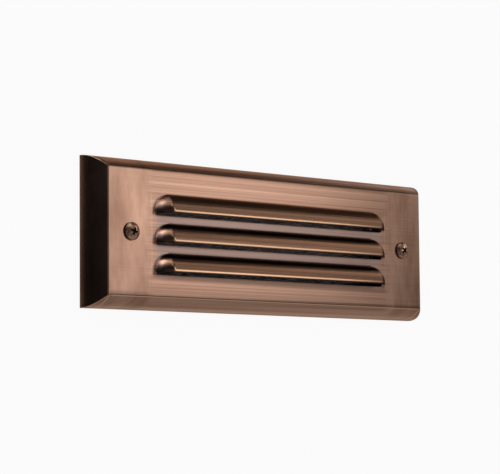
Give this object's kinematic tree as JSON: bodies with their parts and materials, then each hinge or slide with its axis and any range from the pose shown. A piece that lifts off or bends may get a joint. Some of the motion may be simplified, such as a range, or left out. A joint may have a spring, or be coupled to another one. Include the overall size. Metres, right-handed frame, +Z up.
{
  "type": "step light",
  "caption": "Recessed step light for one brick's space: louvred metal cover over a flanged box with lens, reflector, wedge-base lamp and cable gland.",
  "frame": {"origin": "centre of the wall plane, where the flange's gasket seats on the wall", "axes": "+X along the light, +Y into the wall, +Z up; the cover stands out towards -Y"},
  "size_m": [0.235, 0.1055, 0.0762],
  "materials": {
    "antique_copper": "brushed antique copper, lacquered",
    "dark_bronze": "dark bronze, polished",
    "black_nylon": "moulded nylon",
    "foam_rubber": "closed-cell foam",
    "moulded_black": "moulded, fine texture",
    "brass": "turned",
    "silicone": "moulded silicone",
    "frosted_glass": "frosted on the back",
    "pressed_steel": "stainless, pressed",
    "zinc_screws": "zinc plated",
    "bright_aluminium": "bright anodised",
    "clear_glass": "clear",
    "tungsten": "drawn wire",
    "bare_copper": "bare copper wire",
    "socket_plastic": "heat-resistant moulding",
    "spring_bronze": "spring strip",
    "zinc_plate": "zinc plated sheet",
    "white_nylon": "moulded nylon",
    "red_insulation": "wire insulation",
    "black_insulation": "wire insulation",
    "gland_nylon": "moulded nylon",
    "gland_rubber": "neoprene"
  },
  "bodies": {
    "recess_box": {"wall_gasket": "foam_rubber", "housing": "moulded_black", "threaded_insert_left": "brass", "threaded_insert_right": "brass", "lens_gasket": "silicone", "lens": "frosted_glass", "lens_frame": "pressed_steel", "lens_frame_screws": "zinc_screws", "reflector": "bright_aluminium", "reflector_screws": "zinc_screws", "lamp_socket": "socket_plastic", "socket_contacts": "spring_bronze", "socket_rivets": "brass", "socket_bracket": "zinc_plate", "bracket_screws": "zinc_screws", "terminal_block": "white_nylon", "terminal_clamps": "brass", "terminal_screws": "zinc_screws", "terminal_fixing_screw": "zinc_screws", "lead_red": "red_insulation", "lead_black": "black_insulation", "gland_body": "gland_nylon", "gland_washer": "silicone", "gland_lock_nut": "gland_nylon", "gland_seal": "gland_rubber"},
    "cover": {"louvre_cover": "antique_copper"},
    "left_washer": {"screw_washer_left": "black_nylon"},
    "left_screw": {"cover_screw_left": "dark_bronze"},
    "right_washer": {"screw_washer_right": "black_nylon"},
    "right_screw": {"cover_screw_right": "dark_bronze"},
    "lamp": {"lamp_bulb": "clear_glass", "lamp_filament": "tungsten", "lamp_contact_wires": "bare_copper"},
    "gland_claw": {"gland_claw_ring": "gland_nylon"},
    "gland_cap": {"gland_nut": "gland_nylon"}
  },
  "joints": [
    {"name": "cover_pull", "type": "slide", "parent": "recess_box", "child": "cover", "axis": [0, -1, 0], "range_m": [0, 0.04]},
    {"name": "left_screw_back_out", "type": "slide", "parent": "cover", "child": "left_washer", "axis": [0, -1, 0], "range_m": [0, 0.0095]},
    {"name": "left_screw_turn", "type": "hinge", "parent": "left_washer", "child": "left_screw", "pos_m": [-0.097, -0.016, 0], "axis": [0, -1, 0], "range_deg": [0, 4886]},
    {"name": "right_screw_back_out", "type": "slide", "parent": "cover", "child": "right_washer", "axis": [0, -1, 0], "range_m": [0, 0.0095]},
    {"name": "right_screw_turn", "type": "hinge", "parent": "right_washer", "child": "right_screw", "pos_m": [0.097, -0.016, 0], "axis": [0, -1, 0], "range_deg": [0, 4886]},
    {"name": "lamp_pull", "type": "slide", "parent": "recess_box", "child": "lamp", "axis": [-1, 0, 0], "range_m": [0, 0.0085]},
    {"name": "gland_claw_slide", "type": "slide", "parent": "recess_box", "child": "gland_claw", "axis": [0, 1, 0], "range_m": [0, 0.0076]},
    {"name": "gland_nut_turn", "type": "hinge", "parent": "gland_claw", "child": "gland_cap", "pos_m": [-0.045, 0.075, 0], "axis": [0, 1, 0], "range_deg": [0, 1800]}
  ],
  "couplings": [
    {"joint": "left_screw_turn", "follows": "left_screw_back_out", "rad_per_m": 8976},
    {"joint": "right_screw_turn", "follows": "right_screw_back_out", "rad_per_m": 8976},
    {"joint": "gland_claw_slide", "follows": "gland_nut_turn", "m_per_rad": 0.00023873}
  ]
}
